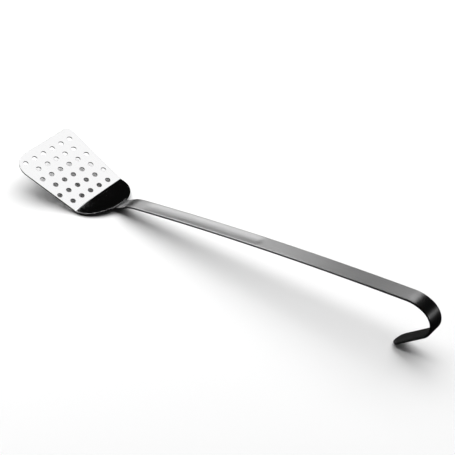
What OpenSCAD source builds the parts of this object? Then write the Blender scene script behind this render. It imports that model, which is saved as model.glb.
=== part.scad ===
// Grill spatula: a perforated sheet-steel blade spot-welded onto a long flat-bar
// handle that ends in a hanging hook. It lies on its tongue and the tip of its hook.
// +Y runs from the blade to the hook, +Z is up, X is across the blade.
// The shapes are drawn with the blade level and its heel at the origin. at_rest()
// then tips them onto the surface that they lie on.

/* [Blade] */
// Width of the blade along its front edge
blade_front_w = 103.5; // [90:0.5:115]
// Width of the blade at the heel, where the sheet bends up
blade_heel_w = 84.6; // [76:0.2:90]
// Length of the flat, from the front edge to the heel
blade_flat_len = 101; // [96:0.5:120]
// Thickness of the blade's sheet
sheet_t = 1.5; // [1:0.1:2]
// Radius of the two front corners
front_corner_r = 7; // [3:0.5:12]

/* [Drain holes] */
// Diameter of a drain hole
hole_d = 6.5; // [4:0.1:8]
// Distance between the holes in one row
hole_pitch = 15; // [14:0.1:15.5]
// Distance between the rows
row_pitch = 15.5; // [14:0.1:16]
// Number of rows, each staggered by half a pitch from the next
row_count = 6; // [3:1:6]
// Number of holes in the row nearest the front edge
front_row_holes = 6; // [4:1:6]
// Distance from the heel to the middle of the pattern
pattern_middle = 48; // [44:0.5:52]
// Turn of the whole pattern in the blade, in degrees
pattern_turn = -2.6; // [-3:0.1:3]
// Sideways shift of the whole pattern
pattern_shift = 0.8; // [-1:0.1:1]

/* [Riser] */
// Angle of the crisp bend at the heel, in degrees
heel_bend = 14; // [8:0.5:20]
// Radius of that bend on the upper side
heel_bend_r = 4; // [2:0.5:6]
// Length of the riser along its upper side
riser_len = 38.4; // [34:0.2:44]
// Slope of the riser at its rear edge, in degrees
riser_end_slope = 39; // [32:1:44]
// How late the shoulders begin to draw in
shoulder_start = 2.1; // [1.6:0.1:3]
// How full the shoulders are
shoulder_fullness = 1.25; // [1:0.05:1.8]

/* [Handle bar] */
// Width of the flat bar
bar_w = 20; // [16:0.5:25]
// Thickness of the flat bar
bar_t = 3; // [2.5:0.1:4]
// Length of the tongue that is welded beneath the riser
tongue_len = 26; // [22:1:30]
// Radius of the tongue's two front corners
tongue_corner_r = 5; // [3:0.5:7]
// Radius of the upward bend behind the riser
neck_rise_r = 36; // [20:1:50]
// Angle of the upward bend, in degrees
neck_rise = 11.2; // [6:0.2:16]
// Straight stretch between the neck's two bends
neck_straight = 6.8; // [2:0.2:12]
// Radius of the bend that levels the neck out
neck_level_r = 52; // [30:1:70]
// Angle of the bend that levels the neck out, in degrees
neck_level = 20.2; // [16:0.2:24]
// Length of the grip along its upper side
grip_len = 380; // [300:5:400]
// Angle that the grip bows through, in degrees
grip_bow = 4.9; // [2:0.1:7]

/* [Pressed groove] */
// Width of the groove at the bar's upper side
groove_w = 16; // [10:0.5:17]
// Depth of the groove at its middle
groove_depth = 1.5; // [1:0.1:1.8]
// Distance from the neck to the start of the groove
groove_start = 12; // [10:1:60]
// Length of the groove
groove_len = 176; // [80:1:220]

/* [Hook] */
// Radius of the hook's first, wide bend, outside
crook_r = 38.8; // [30:0.2:50]
// Angle of the first bend, in degrees
crook_bend = 34; // [20:1:45]
// Radius of the hook's tight bend, outside
hook_r = 22; // [18:0.1:28]
// Angle of the tight bend, in degrees
hook_bend = 112; // [109:1:120]
// Length of the hook's straight return, with its half-round tip
return_len = 49.2; // [35:0.2:60]

/* [Spot welds] */
// Diameter of a weld nugget
weld_d = 5; // [4:0.1:6]
// How deep a nugget reaches into each sheet
weld_reach = 0.8; // [0.5:0.1:1]
// Distance from the riser's rear edge to the nearest nugget
weld_margin = 5; // [4:0.5:7]
// Distance between the nuggets
weld_pitch = 8; // [6.5:0.5:9]
// Diameter of the mark that each weld leaves under the tongue
weld_mark_d = 7; // [6:0.1:8]
// Depth of that mark
weld_mark_depth = 0.3; // [0.1:0.1:0.5]

/* [Hidden] */
$fn = 96;
degrees_per_radian = 180 / PI;
// Facets of one front corner, and of one shoulder
corner_steps = 10;
shoulder_steps = 28;
// How far cutting shapes run past what they cut
overrun = 5;
// How far each stretch of a side profile runs on into the next, so that they join
lap = 0.05;
// Room above the blade that its plan outline is drawn through
plan_height = 60;

// A place on a side profile is [y, z, slope], with the slope in degrees above +Y.
// Positive bends turn upward. The metal lies below the profile's line.
function normal(place) = [-sin(place[2]), cos(place[2])];
function bend_centre(place, r, bend) =
    let (side = sign(bend) * r)
    [place[0] + side * normal(place)[0], place[1] + side * normal(place)[1]];
function after_bend(place, r, bend) =
    let (centre = bend_centre(place, r, bend), side = sign(bend) * r, slope = place[2] + bend)
    [centre[0] + side * sin(slope), centre[1] - side * cos(slope), slope];
function after_straight(place, len) =
    [place[0] + len * cos(place[2]), place[1] + len * sin(place[2]), place[2]];
function below(place, depth) =
    [place[0] - depth * normal(place)[0], place[1] - depth * normal(place)[1], place[2]];
function bend_radius(len, bend) = len * degrees_per_radian / bend;

// Side profile of the blade's sheet
heel = [0, 0, 0];
riser_foot = after_bend(heel, heel_bend_r, heel_bend);
riser_bend = riser_end_slope - heel_bend;
riser_r = bend_radius(riser_len, riser_bend);
riser_end = after_bend(riser_foot, riser_r, riser_bend);

// Side profile of the handle's upper side
tongue_r = riser_r + sheet_t;
tongue_bend = tongue_len * degrees_per_radian / tongue_r;
tongue_end = below(riser_end, sheet_t);
tongue_front = after_bend(tongue_end, -tongue_r, -tongue_bend);
neck_low = after_bend(tongue_end, neck_rise_r, neck_rise);
neck_high = after_straight(neck_low, neck_straight);
grip_front = after_bend(neck_high, neck_level_r, -neck_level);
grip_r = bend_radius(grip_len, grip_bow);
grip_rear = after_bend(grip_front, grip_r, -grip_bow);
hook_top = after_bend(grip_rear, crook_r, -crook_bend);
hook_bottom = after_bend(hook_top, hook_r, -hook_bend);
return_end = after_straight(hook_bottom, return_len - bar_w / 2);
tip = after_straight(hook_bottom, return_len);

// The bar's outline, as one closed line: along its upper side and back along its lower side
tongue_steps = 14;
neck_steps = 6;
grip_steps = 20;
crook_steps = 10;
hook_steps = 28;
function bend_places(place, r, bend, steps) =
    [for (i = [1:steps]) after_bend(place, r, bend * i / steps)];
bar_places = concat(
    [tongue_front],
    bend_places(tongue_front, tongue_r, tongue_bend, tongue_steps),
    bend_places(tongue_end, neck_rise_r, neck_rise, neck_steps),
    bend_places(neck_high, neck_level_r, -neck_level, neck_steps),
    bend_places(grip_front, grip_r, -grip_bow, grip_steps),
    bend_places(grip_rear, crook_r, -crook_bend, crook_steps),
    bend_places(hook_top, hook_r, -hook_bend, hook_steps),
    [tip]
);
last_place = len(bar_places) - 1;
bar_upper_line = [for (place = bar_places) [place[0], place[1]]];
bar_lower_line = [
    for (i = [last_place:-1:0])
        let (place = below(bar_places[i], bar_t))
        [place[0], place[1]]
];

// The groove is a straight round channel, so it is shallower towards its ends
groove_r = (pow(groove_w / 2, 2) + pow(groove_depth, 2)) / (2 * groove_depth);
groove_middle = after_bend(grip_front, grip_r, -grip_bow * (groove_start + groove_len / 2) / grip_len);
groove_reach = (groove_len - groove_w) / 2;

// The spatula rests on the tongue's lower front edge and on the tip of the hook
tongue_foot = below(tongue_front, bar_t);
rest_tilt = atan2(tip[1] - tongue_foot[1], tip[0] - tongue_foot[0]);
function rest_y(point) = point[0] * cos(rest_tilt) + point[1] * sin(rest_tilt);
function rest_z(point) = point[1] * cos(rest_tilt) - point[0] * sin(rest_tilt);
front_reach = rest_y([-blade_flat_len, -sheet_t]);
hook_reach = rest_y(bend_centre(hook_top, hook_r, -hook_bend)) + hook_r;
middle_y = (front_reach + hook_reach) / 2;
floor_z = rest_z(tongue_foot);

// Half of the blade's plan outline, from the middle of the front edge to the riser's end
side_taper = atan2((blade_front_w - blade_heel_w) / 2, blade_flat_len);
corner_x = blade_front_w / 2 - front_corner_r * (tan(side_taper) + 1 / cos(side_taper));
corner_y = front_corner_r - blade_flat_len;
function shoulder_half_w(u) =
    bar_w / 2 + (blade_heel_w - bar_w) / 2 * pow(1 - pow(u, shoulder_start), 1 / shoulder_fullness);
function shoulder_y(u) = after_bend(riser_foot, riser_r, riser_bend * u)[0];
front_corner = [
    for (i = [0:corner_steps])
        let (a = -90 + (90 + side_taper) * i / corner_steps)
        [corner_x + front_corner_r * cos(a), corner_y + front_corner_r * sin(a)]
];
shoulder = [
    for (i = [1:shoulder_steps])
        let (u = i / shoulder_steps)
        [shoulder_half_w(u), shoulder_y(u)]
];
half_outline = concat(front_corner, [[blade_heel_w / 2, 0]], shoulder);
last_point = len(half_outline) - 1;
other_half = [for (i = [last_point:-1:0]) [-half_outline[i][0], half_outline[i][1]]];

// Tips a shape from the level drawing onto its resting surface
module at_rest() {
    translate([0, -middle_y, -floor_z])
        rotate([-rest_tilt, 0, 0])
            children();
}

// Turns the plane of the side profiles up and puts its third axis across the blade
module side_on() {
    rotate([90, 0, 90])
        children();
}

// A side profile as wide as w
module across(w) {
    side_on()
        translate([0, 0, -w / 2])
            linear_extrude(height = w)
                children();
}

// A straight stretch of side profile
module straight_strip(place, len, t) {
    translate([place[0], place[1]])
        rotate(place[2])
            translate([-lap, -t])
                square([len + 2 * lap, t]);
}

// A wedge that reaches past radius r, from angle a through sweep
module wedge(r, a, sweep) {
    reach = 2 * r;
    polygon(concat([[0, 0]], [for (i = [0:4]) reach * [cos(a + sweep * i / 4), sin(a + sweep * i / 4)]]));
}

// A bent stretch of side profile, with the metal on the lower side of its line
module bend_strip(place, r, bend, t) {
    side = sign(bend);
    outer_r = bend > 0 ? r + t : r;
    translate([place[0], place[1]])
        rotate(place[2])
            translate([0, side * r])
                intersection() {
                    difference() {
                        circle(r = outer_r);
                        circle(r = outer_r - t);
                    }
                    wedge(outer_r, -90 * side, bend + side * lap * degrees_per_radian / r);
                }
}

// Puts a shape on the joint between the sheet and the bar, square to it
module on_joint(distance) {
    bend = distance * degrees_per_radian / tongue_r;
    place = after_bend(tongue_end, -tongue_r, -bend);
    translate([0, place[0], place[1]])
        rotate([place[2], 0, 0])
            children();
}

// One weld nugget, half in the sheet and half in the bar
module nugget(index) {
    on_joint(weld_margin + index * weld_pitch)
        translate([0, 0, -weld_reach])
            cylinder(d = weld_d, h = 2 * weld_reach);
}

// The mark that a welding electrode leaves under the tongue
module weld_mark(index) {
    on_joint(weld_margin + index * weld_pitch)
        translate([0, 0, -bar_t - overrun])
            cylinder(d = weld_mark_d, h = overrun + weld_mark_depth);
}

module plan_outline() {
    polygon(concat(half_outline, other_half));
}

// The staggered rows of drain holes
module drain_holes() {
    translate([pattern_shift, -pattern_middle, -sheet_t - overrun])
        rotate(pattern_turn)
            for (row = [0:row_count - 1]) {
                count = front_row_holes - row % 2;
                for (i = [0:count - 1])
                    translate([(i - (count - 1) / 2) * hole_pitch, (row - (row_count - 1) / 2) * row_pitch, 0])
                        cylinder(d = hole_d, h = sheet_t + 2 * overrun);
            }
}

module blade_profile() {
    straight_strip([-blade_flat_len, 0, 0], blade_flat_len, sheet_t);
    bend_strip(heel, heel_bend_r, heel_bend, sheet_t);
    bend_strip(riser_foot, riser_r, riser_bend, sheet_t);
}

// Perforated sheet: flat working face, heel bend and riser in one piece
module blade() {
    color("gainsboro")
        at_rest()
            difference() {
                intersection() {
                    across(blade_front_w + overrun)
                        blade_profile();
                    translate([0, 0, -plan_height / 2])
                        linear_extrude(height = plan_height)
                            plan_outline();
                }
                drain_holes();
                for (i = [0:2])
                    nugget(i);
            }
}

module handle_profile() {
    polygon(concat(bar_upper_line, bar_lower_line));
}

// Trims the tongue's front to two rounded corners
module tongue_corner_trim() {
    for (side = [-1, 1])
        translate([side * (bar_w / 2 - tongue_corner_r), tongue_front[0] + tongue_corner_r, -plan_height / 2])
            difference() {
                translate([side > 0 ? 0 : -overrun - tongue_corner_r, -overrun - tongue_corner_r, 0])
                    cube([overrun + tongue_corner_r, overrun + tongue_corner_r, plan_height]);
                cylinder(r = tongue_corner_r, h = plan_height);
            }
}

// Trims the hook's return to a half-round tip
module hook_tip_trim() {
    translate([0, return_end[0], return_end[1]])
        rotate([return_end[2], 0, 0])
            translate([0, 0, -bar_t - overrun])
                difference() {
                    translate([-bar_w / 2 - overrun, 0, 0])
                        cube([bar_w + 2 * overrun, bar_w / 2 + overrun, bar_t + 2 * overrun]);
                    cylinder(d = bar_w, h = bar_t + 2 * overrun);
                }
}

// Half of the channel's lengthwise section, beside its axis
module groove_half_section() {
    intersection() {
        union() {
            translate([0, -groove_reach])
                square([groove_r, 2 * groove_reach]);
            for (side = [-1, 1])
                translate([0, side * groove_reach])
                    circle(r = groove_r);
        }
        translate([0, -groove_reach - 2 * groove_r])
            square([groove_r, 2 * groove_reach + 4 * groove_r]);
    }
}

// Straight round channel with ball ends, level with the middle of its stretch of grip
module groove_channel() {
    translate([0, groove_middle[0], groove_middle[1]])
        rotate([groove_middle[2], 0, 0])
            translate([0, 0, groove_r - groove_depth])
                rotate([90, 0, 0])
                    rotate_extrude()
                        groove_half_section();
}

// Flat bar: tongue, neck, grooved grip and hanging hook in one piece
module handle() {
    color("silver")
        at_rest()
            difference() {
                across(bar_w)
                    handle_profile();
                tongue_corner_trim();
                hook_tip_trim();
                groove_channel();
                for (i = [0:2]) {
                    nugget(i);
                    weld_mark(i);
                }
            }
}

// A weld nugget where the spatula rests, counted from the riser's rear edge
module spot_weld(index) {
    color("darkgray")
        at_rest()
            nugget(index);
}

module rear_spot_weld() {
    spot_weld(0);
}

module middle_spot_weld() {
    spot_weld(1);
}

module front_spot_weld() {
    spot_weld(2);
}

blade();
handle();
front_spot_weld();
middle_spot_weld();
rear_spot_weld();
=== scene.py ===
import math

import bpy
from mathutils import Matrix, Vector
from mathutils.geometry import delaunay_2d_cdt


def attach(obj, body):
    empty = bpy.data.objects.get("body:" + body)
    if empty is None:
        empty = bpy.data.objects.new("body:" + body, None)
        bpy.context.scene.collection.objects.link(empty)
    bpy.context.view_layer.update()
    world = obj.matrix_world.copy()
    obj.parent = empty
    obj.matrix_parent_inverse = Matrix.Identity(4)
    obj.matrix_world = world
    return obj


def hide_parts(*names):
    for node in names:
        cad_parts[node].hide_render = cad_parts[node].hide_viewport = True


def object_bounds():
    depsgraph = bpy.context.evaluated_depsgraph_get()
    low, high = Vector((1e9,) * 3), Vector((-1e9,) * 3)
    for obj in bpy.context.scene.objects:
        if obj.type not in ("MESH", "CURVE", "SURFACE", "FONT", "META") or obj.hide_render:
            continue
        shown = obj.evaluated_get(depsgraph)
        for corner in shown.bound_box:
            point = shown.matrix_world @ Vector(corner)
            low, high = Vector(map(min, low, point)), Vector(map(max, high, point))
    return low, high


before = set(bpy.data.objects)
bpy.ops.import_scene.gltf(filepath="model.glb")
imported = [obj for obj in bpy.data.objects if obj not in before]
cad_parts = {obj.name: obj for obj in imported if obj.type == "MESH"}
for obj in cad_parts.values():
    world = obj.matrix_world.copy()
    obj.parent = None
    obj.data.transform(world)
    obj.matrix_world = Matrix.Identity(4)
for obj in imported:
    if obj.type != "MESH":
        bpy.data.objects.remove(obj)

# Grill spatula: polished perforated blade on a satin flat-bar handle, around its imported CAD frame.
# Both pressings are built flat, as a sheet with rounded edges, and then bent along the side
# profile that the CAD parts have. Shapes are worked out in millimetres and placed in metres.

cad_low, cad_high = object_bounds()

MM = 0.001
LENGTHWISE = "along"

# Blade, as in the CAD part but for its rounder near corner
BLADE_FRONT_W = 103.5
BLADE_HEEL_W = 84.6
BLADE_FLAT_LEN = 101.0
SHEET_T = 1.5
NEAR_CORNER_R = 24.0
FAR_CORNER_R = 7.0
HOLE_D = 6.5
HOLE_PITCH = 15.0
ROW_PITCH = 15.5
ROW_COUNT = 6
FRONT_ROW_HOLES = 6
PATTERN_MIDDLE = 48.0
PATTERN_TURN = -2.6
PATTERN_SHIFT = 0.8
HEEL_BEND = 14.0
HEEL_BEND_R = 4.0
RISER_LEN = 38.4
RISER_END_SLOPE = 39.0
SHOULDER_START = 2.1
SHOULDER_FULLNESS = 1.25

# Handle, as in the CAD part
BAR_W = 20.0
BAR_T = 3.0
TONGUE_LEN = 26.0
TONGUE_CORNER_R = 5.0
NECK_RISE_R = 36.0
NECK_RISE = 11.2
NECK_STRAIGHT = 6.8
NECK_LEVEL_R = 52.0
NECK_LEVEL = 20.2
GRIP_LEN = 380.0
GRIP_BOW = 4.9
CROOK_R = 38.8
CROOK_BEND = 34.0
HOOK_R = 22.0
HOOK_BEND = 112.0
RETURN_LEN = 49.2
WELD_MARGIN = 5.0
WELD_PITCH = 8.0
WELD_MARK_D = 7.0
WELD_MARK_DEPTH = 0.3

# Finish of the edges and of the pressed groove
BLADE_EDGE_R = 0.4
HOLE_EDGE_R = 0.25
BAR_EDGE_R = 0.8
GROOVE_W = 16.6
GROOVE_DEPTH = 1.35
GROOVE_START = 6.0
GROOVE_LEN = 184.0
GROOVE_RUN_OUT = 15.0
RIM_STEPS = 4

# How finely the curves are divided
CORNER_STEPS = 24
SIDE_STEPS = 12
BEND_STEPS = 5
RISER_STEPS = 64
HOLE_SIDES = 40
TONGUE_CORNER_STEPS = 8
TIP_STEPS = 14
BAR_COLUMNS = 14
COLUMN_MARGIN = 0.25
MERGE_DISTANCE = 1e-5
SHARPEST_MITRE = 0.5

# How much the groove flattens towards its sides, and how steep a weld mark's rim is
GROOVE_WALL = 0.35
MARK_RIM = 2.5
WELD_COUNT = 3


class Path:
    """A side profile of straights and bends. place(s) gives (y, z, slope) at a length s along it."""

    def __init__(self, start):
        self.spans = []
        self.length = 0.0
        self.end = start

    def straight(self, length):
        self.spans.append((self.length, self.end, 0.0))
        self.length += length
        self.end = self.place(self.length)
        return self

    def bend(self, r, degrees):
        length = r * abs(math.radians(degrees))
        self.spans.append((self.length, self.end, math.copysign(1.0 / r, degrees)))
        self.length += length
        self.end = self.place(self.length)
        return self

    def place(self, s):
        span = self.spans[0]
        for candidate in self.spans:
            if candidate[0] <= s:
                span = candidate
        begin, (y, z, slope), curve = span
        run = s - begin
        if curve == 0.0:
            return y + run * math.cos(slope), z + run * math.sin(slope), slope
        turned = slope + run * curve
        return (
            y + (math.sin(turned) - math.sin(slope)) / curve,
            z - (math.cos(turned) - math.cos(slope)) / curve,
            turned,
        )


# The blade's upper side, from its front edge to the riser's rear edge
blade_path = Path((-BLADE_FLAT_LEN, 0.0, 0.0))
blade_path.straight(BLADE_FLAT_LEN)
blade_path.bend(HEEL_BEND_R, HEEL_BEND)
RISER_FOOT = blade_path.length
RISER_BEND = RISER_END_SLOPE - HEEL_BEND
RISER_R = RISER_LEN / math.radians(RISER_BEND)
blade_path.bend(RISER_R, RISER_BEND)

# The bar's upper side, from the tongue's front to the tip of the hook
end_y, end_z, end_slope = blade_path.end
TONGUE_R = RISER_R + SHEET_T
joint_y = end_y + SHEET_T * math.sin(end_slope)
joint_z = end_z - SHEET_T * math.cos(end_slope)
tongue_slope = end_slope - TONGUE_LEN / TONGUE_R
tongue_y = joint_y - TONGUE_R * (math.sin(end_slope) - math.sin(tongue_slope))
tongue_z = joint_z - TONGUE_R * (math.cos(tongue_slope) - math.cos(end_slope))
bar_path = Path((tongue_y, tongue_z, tongue_slope))
bar_path.bend(TONGUE_R, math.degrees(TONGUE_LEN / TONGUE_R))
bar_path.bend(NECK_RISE_R, NECK_RISE)
bar_path.straight(NECK_STRAIGHT)
bar_path.bend(NECK_LEVEL_R, -NECK_LEVEL)
GRIP_FROM = bar_path.length
bar_path.bend(GRIP_LEN / math.radians(GRIP_BOW), -GRIP_BOW)
GRIP_TO = bar_path.length
bar_path.bend(CROOK_R, -CROOK_BEND)
bar_path.bend(HOOK_R, -HOOK_BEND)
RETURN_FROM = bar_path.length
bar_path.straight(RETURN_LEN)

# The level drawing is tipped until the tongue's lower front edge and the hook's tip touch the floor
foot_y = tongue_y + BAR_T * math.sin(tongue_slope)
foot_z = tongue_z - BAR_T * math.cos(tongue_slope)
REST_TILT = math.atan2(bar_path.end[1] - foot_z, bar_path.end[0] - foot_y)
floor_drop = foot_z * math.cos(REST_TILT) - foot_y * math.sin(REST_TILT)
front_reach = -BLADE_FLAT_LEN * math.cos(REST_TILT) - SHEET_T * math.sin(REST_TILT)
Y_SHIFT = cad_low.y / MM - front_reach


def rest(x, y, z):
    """A point of the level drawing, in millimetres, where the spatula rests, in metres."""
    return Vector((
        x * MM,
        (y * math.cos(REST_TILT) + z * math.sin(REST_TILT) + Y_SHIFT) * MM,
        (z * math.cos(REST_TILT) - y * math.sin(REST_TILT) - floor_drop) * MM,
    ))


def on_path(path, x, s, depth):
    """The point a given depth below the path's line, at length s along it and x across it."""
    y, z, slope = path.place(s)
    return rest(x, y + depth * math.sin(slope), z - depth * math.cos(slope))


def path_normal(path, s):
    """The direction out of the path's upper side at length s."""
    slope = path.place(s)[2] - REST_TILT
    return Vector((0.0, -math.sin(slope), math.cos(slope)))


def inset(loop, distance):
    """A closed outline moved to its left by a distance, with mitred corners."""
    moved = []
    for i, (x, y) in enumerate(loop):
        before = Vector(loop[i - 1])
        after = Vector(loop[(i + 1) % len(loop)])
        here = Vector((x, y))
        d1 = (here - before).normalized()
        d2 = (after - here).normalized()
        n1 = Vector((-d1.y, d1.x))
        n2 = Vector((-d2.y, d2.x))
        middle = (n1 + n2).normalized()
        reach = distance / max(middle.dot(n1), SHARPEST_MITRE)
        moved.append((x + middle.x * reach, y + middle.y * reach))
    return moved


def stations(marks):
    """Lengths along a path: marks is a list of (from, to, step)."""
    found = []
    for begin, end, step in marks:
        count = max(1, round((end - begin) / step))
        found += [begin + (end - begin) * i / count for i in range(count)]
    return found + [marks[-1][1]]


def smooth(u):
    """Rises softly from 0 to 1 as u does."""
    u = min(max(u, 0.0), 1.0)
    return u * u * (3.0 - 2.0 * u)


def inside(x, y, loop):
    """Whether a point is inside a closed loop."""
    hit = False
    for i in range(len(loop)):
        (x1, y1), (x2, y2) = loop[i - 1], loop[i]
        if (y1 > y) != (y2 > y) and x < x1 + (y - y1) / (y2 - y1) * (x2 - x1):
            hit = not hit
    return hit


def in_a_hole(x, y, holes):
    """Whether a point is inside one of the round holes."""
    reach = 2 * HOLE_D
    for hole in holes:
        hole_x, hole_y = hole[0]
        if abs(x - hole_x) < reach and abs(y - hole_y) < reach and inside(x, y, hole):
            return True
    return False


def flat_face(loops, grid, columns):
    """Triangulates the flat between the inset loops, with lines of points across it.

    Gives its points, its triangles, and for each loop point the number it has among them.
    """
    points = []
    edges = []
    for loop in loops:
        first = len(points)
        points += loop
        edges += [(first + i, first + (i + 1) % len(loop)) for i in range(len(loop))]
    for s, left, right in grid:
        previous = left
        for x in columns(points[right][0]):
            points.append((x, s))
            edges.append((previous, len(points) - 1))
            previous = len(points) - 1
        edges.append((previous, right))
    cut = delaunay_2d_cdt([Vector(p) for p in points], edges, [], 0, MERGE_DISTANCE)
    flat, triangles, sources = cut[0], cut[2], cut[3]
    placed = {source: i for i, found in enumerate(sources) for source in found}
    kept = []
    for triangle in triangles:
        x = sum(flat[i].x for i in triangle) / 3
        y = sum(flat[i].y for i in triangle) / 3
        if inside(x, y, loops[0]) and not in_a_hole(x, y, loops[1:]):
            kept.append(triangle)
    exact = [points[sources[i][0]] if sources[i] else (p.x, p.y) for i, p in enumerate(flat)]
    return exact, kept, placed


def rim_profile(r, thickness):
    """How far in, and how deep, each ring of a rounded edge lies, between the two faces."""
    quarter = [math.pi / 2 * k / RIM_STEPS for k in range(RIM_STEPS + 1)]
    rings = [(r - r * math.sin(a), r - r * math.cos(a)) for a in quarter[1:]]
    under = [math.pi / 2 - a for a in quarter[:-1]]
    return rings + [(r - r * math.sin(a), thickness - (r - r * math.cos(a))) for a in under]


def sheet_mesh(name, path, outline, holes, grid, columns, thickness, radii, sinks):
    """A bent sheet with rounded edges.

    outline and holes are closed lists of (x, s), anticlockwise and clockwise. grid is a list of
    (s, left index, right index) of lines across the sheet, and columns gives the x values of
    the points between their ends. radii are the edge's and the holes' own, and sinks are two
    functions that press the upper and the lower face in. Gives the piece, its points before
    bending, and the number of faces on its two broad sides.
    """
    edge_r, hole_edge_r = radii
    upper_sink, lower_sink = sinks
    loops = [(outline, edge_r)] + [(hole, hole_edge_r) for hole in holes]
    flat, triangles, placed = flat_face([inset(loop, r) for loop, r in loops], grid, columns)
    count = len(flat)
    verts = [(x, s, upper_sink(x, s)) for x, s in flat]
    verts += [(x, s, thickness - lower_sink(x, s)) for x, s in flat]
    faces = [tuple(t) for t in triangles]
    faces += [tuple(count + i for i in reversed(t)) for t in triangles]
    caps = len(faces)
    first = 0
    for loop, r in loops:
        size = len(loop)
        rings = [[placed[first + i] for i in range(size)]]
        first += size
        for inward, depth in rim_profile(r, thickness):
            rings.append(list(range(len(verts), len(verts) + size)))
            verts += [(x, s, depth) for x, s in inset(loop, inward)]
        rings.append([i + count for i in rings[0]])
        for upper, lower in zip(rings, rings[1:]):
            for i in range(size):
                j = (i + 1) % size
                faces.append((upper[i], lower[i], lower[j], upper[j]))

    mesh = bpy.data.meshes.new(name)
    mesh.from_pydata([on_path(path, x, s, d) for x, s, d in verts], [], faces)
    uv = mesh.uv_layers.new(name=LENGTHWISE)
    for corner in mesh.loops:
        x, s, d = verts[corner.vertex_index]
        uv.data[corner.index].uv = (s * MM, (x + d) * MM)
    mesh.validate()
    mesh.shade_smooth()
    piece = bpy.data.objects.new(name, mesh)
    bpy.context.scene.collection.objects.link(piece)
    return piece, verts, caps


def aim_normals(piece, path, verts, caps):
    """Gives the two broad faces the exact normals of the bent sheet, so that they reflect cleanly."""
    mesh = piece.data
    normals = [Vector(n.vector) for n in mesh.corner_normals]
    for polygon in mesh.polygons:
        if polygon.index < caps:
            side = 1.0 if polygon.index < caps // 2 else -1.0
            for index in polygon.loop_indices:
                s = verts[mesh.loops[index].vertex_index][1]
                normals[index] = side * path_normal(path, s)
    mesh.normals_split_custom_set([tuple(n) for n in normals])


# Blade

def front_corner(r):
    """The rounded front corner and straight side of one half, from the front edge to the heel."""
    taper = math.atan2((BLADE_FRONT_W - BLADE_HEEL_W) / 2, BLADE_FLAT_LEN)
    corner_x = BLADE_FRONT_W / 2 - r * (math.tan(taper) + 1 / math.cos(taper))
    found = []
    for i in range(CORNER_STEPS + 1):
        a = -math.pi / 2 + (math.pi / 2 + taper) * i / CORNER_STEPS
        found.append((corner_x + r * math.cos(a), r * (1 + math.sin(a))))
    x0, s0 = found[-1]
    for i in range(1, SIDE_STEPS + 1):
        u = i / SIDE_STEPS
        found.append((x0 + (BLADE_HEEL_W / 2 - x0) * u, s0 + (BLADE_FLAT_LEN - s0) * u))
    return found


def riser_side():
    """The side of one half behind the heel, with a shoulder that narrows to the bar's width."""
    found = []
    for i in range(1, BEND_STEPS + 1):
        s = BLADE_FLAT_LEN + (RISER_FOOT - BLADE_FLAT_LEN) * i / BEND_STEPS
        found.append((BLADE_HEEL_W / 2, s))
    for i in range(1, RISER_STEPS + 1):
        u = math.sin(math.pi / 2 * i / RISER_STEPS)
        full = (1 - u ** SHOULDER_START) ** (1 / SHOULDER_FULLNESS)
        x = BAR_W / 2 + (BLADE_HEEL_W - BAR_W) / 2 * full
        found.append((x, RISER_FOOT + RISER_LEN * u))
    return found


def blade_outline():
    """The whole anticlockwise outline, and the left and right points of each riser station."""
    near = front_corner(NEAR_CORNER_R)
    far = front_corner(FAR_CORNER_R)
    behind = riser_side()
    right = near + behind
    left = [(-x, s) for x, s in reversed(far + behind)]
    outline = right + left
    last = len(outline) - 1
    grid = [(i, last - i) for i in range(len(near) - 1, len(right) - 1)]
    return outline, grid


def drain_holes():
    """The staggered rows of round holes, each a clockwise loop."""
    turn = math.radians(PATTERN_TURN)
    holes = []
    for row in range(ROW_COUNT):
        count = FRONT_ROW_HOLES - row % 2
        for i in range(count):
            x = (i - (count - 1) / 2) * HOLE_PITCH
            y = (row - (ROW_COUNT - 1) / 2) * ROW_PITCH
            cx = x * math.cos(turn) - y * math.sin(turn) + PATTERN_SHIFT
            cs = x * math.sin(turn) + y * math.cos(turn) - PATTERN_MIDDLE + BLADE_FLAT_LEN
            loop = []
            for k in range(HOLE_SIDES):
                a = -2 * math.pi * k / HOLE_SIDES
                loop.append((cx + HOLE_D / 2 * math.cos(a), cs + HOLE_D / 2 * math.sin(a)))
            holes.append(loop)
    return holes


def no_sink(x, s):
    """A face that is pressed in nowhere."""
    return 0.0


def no_columns(half):
    """A line across with no points between its ends."""
    return []


def build_blade():
    """The perforated flat, the heel's bend and the riser in one sheet."""
    outline, pairs = blade_outline()
    inner = inset(outline, BLADE_EDGE_R)
    grid = [(inner[r][1], left, r) for r, left in pairs]
    piece, verts, caps = sheet_mesh(
        "blade_sheet", blade_path, outline, drain_holes(), grid, no_columns,
        SHEET_T, (BLADE_EDGE_R, HOLE_EDGE_R), (no_sink, no_sink),
    )
    aim_normals(piece, blade_path, verts, caps)
    return piece


# Handle

def bar_half_width(s):
    """Half of the bar's width: rounded corners on the tongue, a half-round tip on the hook."""
    half = BAR_W / 2
    if s < TONGUE_CORNER_R:
        across = TONGUE_CORNER_R ** 2 - (TONGUE_CORNER_R - s) ** 2
        return half - TONGUE_CORNER_R + math.sqrt(max(across, 0.0))
    from_tip = bar_path.length - s
    if from_tip < half:
        return math.sqrt(max(half ** 2 - (half - from_tip) ** 2, 0.0))
    return half


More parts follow.
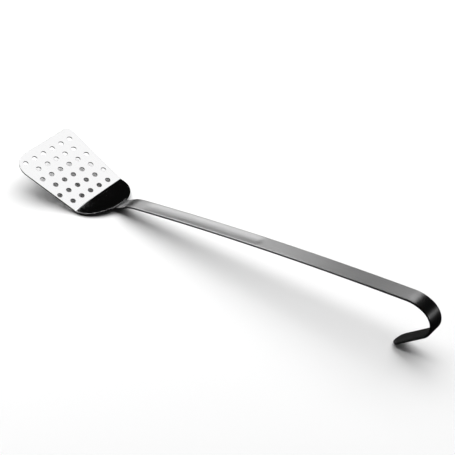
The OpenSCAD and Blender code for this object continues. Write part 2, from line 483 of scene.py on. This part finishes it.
def bar_stations():
    """Where the lines across the bar lie, closest together on the bends and the groove's ends."""
    groove_from = GRIP_FROM + GROOVE_START
    groove_to = groove_from + GROOVE_LEN
    flat_from = groove_to + 5
    run_in = groove_from + 2 * GROOVE_RUN_OUT
    run_out = groove_to - 2 * GROOVE_RUN_OUT
    tip_from = bar_path.length - BAR_W / 2
    along = stations([
        (TONGUE_CORNER_R, TONGUE_LEN, 1.0),
        (TONGUE_LEN, run_in, 1.0),
        (run_in, run_out, 3.0),
        (run_out, flat_from, 1.5),
        (flat_from, GRIP_TO, 4.0),
        (GRIP_TO, RETURN_FROM, 0.7),
        (RETURN_FROM, tip_from, 2.5),
    ])
    corner = []
    for i in range(TONGUE_CORNER_STEPS):
        corner.append(TONGUE_CORNER_R * (1 - math.cos(math.pi / 2 * i / TONGUE_CORNER_STEPS)))
    tip = []
    for i in range(1, TIP_STEPS):
        tip.append(bar_path.length - BAR_W / 2 * (1 - math.sin(math.pi / 2 * i / TIP_STEPS)))
    return corner + along + tip


def groove_depth(x, s):
    """Pressed trough: round across the bar, running out softly at both ends."""
    begin = GRIP_FROM + GROOVE_START
    end = begin + GROOVE_LEN
    if s <= begin or s >= end:
        return 0.0
    run = smooth((s - begin) / GROOVE_RUN_OUT) * smooth((end - s) / GROOVE_RUN_OUT)
    u = abs(x) / (GROOVE_W / 2)
    if u >= 1.0:
        return 0.0
    return GROOVE_DEPTH * run * (1.0 - u * u) * (1.0 - GROOVE_WALL * u ** 4)


def weld_marks(x, s):
    """Shallow round marks that the welding electrodes leave beneath the tongue."""
    for i in range(WELD_COUNT):
        centre = TONGUE_LEN - WELD_MARGIN - i * WELD_PITCH
        r = math.hypot(x, s - centre) / (WELD_MARK_D / 2)
        if r < 1.0:
            return WELD_MARK_DEPTH * smooth((1.0 - r) * MARK_RIM)
    return 0.0


def bar_columns(half):
    """The x values of the points between the ends of a line across the bar."""
    edge = half - COLUMN_MARGIN
    if edge <= 1.0:
        return []
    return [edge * (2 * k / BAR_COLUMNS - 1) for k in range(BAR_COLUMNS + 1)]


def build_handle():
    """The tongue, neck, grooved grip and hook in one bar."""
    right = [(bar_half_width(s), s) for s in bar_stations()]
    left = [(-x, s) for x, s in reversed(right)]
    outline = right + [(0.0, bar_path.length)] + left
    last = len(outline) - 1
    inner = inset(outline, BAR_EDGE_R)
    grid = [(inner[i][1], last - i, i) for i in range(2, len(right) - 1)]
    return sheet_mesh(
        "handle_bar", bar_path, outline, [], grid, bar_columns,
        BAR_T, (BAR_EDGE_R, BAR_EDGE_R), (groove_depth, weld_marks),
    )[0]


# Materials

def steel(name, color, roughness, anisotropic):
    """A metal material and its shader."""
    material = bpy.data.materials.new(name)
    material.use_nodes = True
    nodes = material.node_tree.nodes
    shader = nodes["Principled BSDF"]
    shader.inputs["Base Color"].default_value = (*color, 1.0)
    shader.inputs["Metallic"].default_value = 1.0
    shader.inputs["Roughness"].default_value = roughness
    shader.inputs["Anisotropic"].default_value = anisotropic
    return material, shader


def node(material, kind, **values):
    """A new node. Each value sets the property of that name, or else the socket."""
    made = material.node_tree.nodes.new(kind)
    for key, value in values.items():
        if hasattr(made, key):
            setattr(made, key, value)
        else:
            made.inputs[key].default_value = value
    return made


def link(material, a, b):
    """Joins an output to an input."""
    material.node_tree.links.new(a, b)


def brushed_noise(material, scale, stretch, detail):
    """Noise drawn out along the piece, from its own lengthwise coordinates."""
    coordinates = node(material, "ShaderNodeUVMap", uv_map=LENGTHWISE)
    mapping = node(material, "ShaderNodeMapping")
    mapping.inputs["Scale"].default_value = (scale / stretch, scale, 1.0)
    noise = node(material, "ShaderNodeTexNoise", Scale=1.0, Detail=detail)
    link(material, coordinates.outputs["UV"], mapping.inputs["Vector"])
    link(material, mapping.outputs["Vector"], noise.inputs["Vector"])
    return noise


def ramp(material, source, low, high, a, b):
    """Maps a 0 to 1 value so that low gives a and high gives b."""
    made = node(material, "ShaderNodeMapRange")
    made.inputs["From Min"].default_value = low
    made.inputs["From Max"].default_value = high
    made.inputs["To Min"].default_value = a
    made.inputs["To Max"].default_value = b
    link(material, source, made.inputs["Value"])
    return made.outputs["Result"]


def grey_mix(material, factor, dark, light):
    """A colour that goes from dark to light with the factor."""
    mix = node(material, "ShaderNodeMix", data_type="RGBA")
    mix.inputs[6].default_value = (*dark, 1.0)
    mix.inputs[7].default_value = (*light, 1.0)
    link(material, factor, mix.inputs[0])
    return mix.outputs[2]


def cloud_noise(material, scale):
    """Even noise from the piece's own coordinates."""
    cloud = node(material, "ShaderNodeTexNoise", Scale=scale, Detail=4.0)
    place = node(material, "ShaderNodeTexCoord")
    link(material, place.outputs["Object"], cloud.inputs["Vector"])
    return cloud.outputs["Fac"]


def add_bump(material, shader, height, strength, distance):
    """Fine relief on the surface from a height."""
    bump = node(material, "ShaderNodeBump", Strength=strength, Distance=distance)
    link(material, height, bump.inputs["Height"])
    link(material, bump.outputs["Normal"], shader.inputs["Normal"])


def polished_steel():
    """Mirror polish with faint clouds and hairlines."""
    material, shader = steel("polished_steel", (0.86, 0.86, 0.865), 0.05, 0.0)
    cloud = cloud_noise(material, 38.0)
    lines = brushed_noise(material, 2600.0, 60.0, 3.0).outputs["Fac"]
    roughness = ramp(material, cloud, 0.35, 0.7, 0.03, 0.075)
    color = grey_mix(material, lines, (0.82, 0.82, 0.825), (0.9, 0.9, 0.9))
    link(material, roughness, shader.inputs["Roughness"])
    link(material, color, shader.inputs["Base Color"])
    add_bump(material, shader, lines, 0.02, 0.00002)
    return material


def satin_steel():
    """Brushed along its length, so that its highlights spread across it."""
    material, shader = steel("satin_steel", (0.72, 0.72, 0.72), 0.4, 0.85)
    shader.inputs["Anisotropic Rotation"].default_value = 0.25
    tangent = node(material, "ShaderNodeTangent", direction_type="UV_MAP", uv_map=LENGTHWISE)
    link(material, tangent.outputs["Tangent"], shader.inputs["Tangent"])
    fine = brushed_noise(material, 3200.0, 90.0, 5.0).outputs["Fac"]
    broad = brushed_noise(material, 700.0, 40.0, 3.0).outputs["Fac"]
    roughness = ramp(material, broad, 0.3, 0.7, 0.36, 0.46)
    color = grey_mix(material, fine, (0.62, 0.62, 0.62), (0.82, 0.82, 0.82))
    link(material, roughness, shader.inputs["Roughness"])
    link(material, color, shader.inputs["Base Color"])
    add_bump(material, shader, fine, 0.12, 0.00004)
    return material


def weld_steel():
    """Dull, slightly brown weld metal."""
    material, shader = steel("weld_steel", (0.5, 0.48, 0.45), 0.45, 0.0)
    cloud = cloud_noise(material, 900.0)
    color = grey_mix(material, cloud, (0.36, 0.33, 0.3), (0.62, 0.6, 0.57))
    link(material, color, shader.inputs["Base Color"])
    add_bump(material, shader, cloud, 0.3, 0.0001)
    return material


# Stage

# The camera's direction, its distance from the middle of the model, and where it aims beside it
CAMERA_AZIMUTH = 128.03
CAMERA_ELEVATION = 36.83
CAMERA_DISTANCE = 1.5935
CAMERA_LENS = 110.04
AIM_RIGHT = 0.0087
AIM_UP = 0.0046

# The floor, and how bright the dark studio around the lights is
FLOOR_REACH = 6.0
FLOOR_GREY = 0.9
STUDIO_GREY = 0.003


def add_camera():
    """The camera, level and aimed just beside the middle of the model."""
    a, e = math.radians(CAMERA_AZIMUTH), math.radians(CAMERA_ELEVATION)
    back = Vector((math.sin(a) * math.cos(e), -math.cos(a) * math.cos(e), math.sin(e)))
    right = Vector((math.cos(a), math.sin(a), 0.0))
    up = back.cross(right)
    middle = (cad_low + cad_high) / 2
    data = bpy.data.cameras.new("camera")
    data.lens = CAMERA_LENS
    data.sensor_width = 36.0
    camera = bpy.data.objects.new("camera", data)
    camera.location = middle + back * CAMERA_DISTANCE + right * AIM_RIGHT + up * AIM_UP
    camera.rotation_mode = "QUATERNION"
    camera.rotation_quaternion = back.to_track_quat("Z", "Y")
    bpy.context.scene.collection.objects.link(camera)
    bpy.context.scene.camera = camera


def add_panel(name, centre, target, size, brightness):
    """A soft rectangular light at centre that faces target, as bright as white paper at 1."""
    data = bpy.data.lights.new(name, "AREA")
    data.shape = "RECTANGLE"
    data.size, data.size_y = size
    data.energy = math.pi * size[0] * size[1] * brightness
    panel = bpy.data.objects.new(name, data)
    panel.location = centre
    panel.rotation_mode = "QUATERNION"
    panel.rotation_quaternion = (Vector(centre) - Vector(target)).to_track_quat("Z", "Y")
    bpy.context.scene.collection.objects.link(panel)
    return panel


def add_floor():
    """A plain pale floor. The steel doesn't reflect it, so that its lower sides stay dark."""
    mesh = bpy.data.meshes.new("floor")
    level = cad_low.z
    corners = [
        (-FLOOR_REACH, -FLOOR_REACH, level),
        (FLOOR_REACH, -FLOOR_REACH, level),
        (FLOOR_REACH, FLOOR_REACH, level),
        (-FLOOR_REACH, FLOOR_REACH, level),
    ]
    mesh.from_pydata(corners, [], [(0, 1, 2, 3)])
    floor = bpy.data.objects.new("floor", mesh)
    bpy.context.scene.collection.objects.link(floor)
    material = bpy.data.materials.new("floor")
    material.use_nodes = True
    shader = material.node_tree.nodes["Principled BSDF"]
    shader.inputs["Base Color"].default_value = (FLOOR_GREY, FLOOR_GREY, FLOOR_GREY, 1.0)
    shader.inputs["Roughness"].default_value = 1.0
    shader.inputs["Specular IOR Level"].default_value = 0.0
    mesh.materials.append(material)
    floor.visible_glossy = False


def add_light():
    """One soft panel for each part of the spatula to reflect, and a broad one for the floor."""
    world = bpy.data.worlds.new("studio")
    world.use_nodes = True
    background = world.node_tree.nodes["Background"]
    background.inputs["Color"].default_value = (1.0, 1.0, 1.0, 1.0)
    background.inputs["Strength"].default_value = STUDIO_GREY
    bpy.context.scene.world = world
    add_panel("blade_panel", (-0.85, -0.2, 1.0), (-0.85, -0.2, 0.0), (0.9, 0.6), 1.08)
    add_panel("grip_panel", (0.1, -1.25, 1.0), (0.1, -1.25, 0.0), (1.8, 1.3), 1.5)
    add_panel("hook_panel", (0.0, 1.6, 0.6), (0.0, 0.1, 0.0), (1.0, 0.4), 0.8)
    floor_light = add_panel("floor_light", (-1.2, -0.3, 3.0), (0.0, 0.0, 0.0), (5.0, 5.0), 2.4)
    floor_light.visible_glossy = False


bpy.context.scene.view_settings.view_transform = "Standard"
blade = build_blade()
handle = build_handle()
blade.data.materials.append(polished_steel())
handle.data.materials.append(satin_steel())
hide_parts("blade")
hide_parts("handle")
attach(blade, "root")
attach(handle, "root")
weld_material = weld_steel()
for name in ("front_spot_weld", "middle_spot_weld", "rear_spot_weld"):
    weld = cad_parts[name]
    weld.data.materials.clear()
    weld.data.materials.append(weld_material)

add_camera()
add_floor()
add_light()
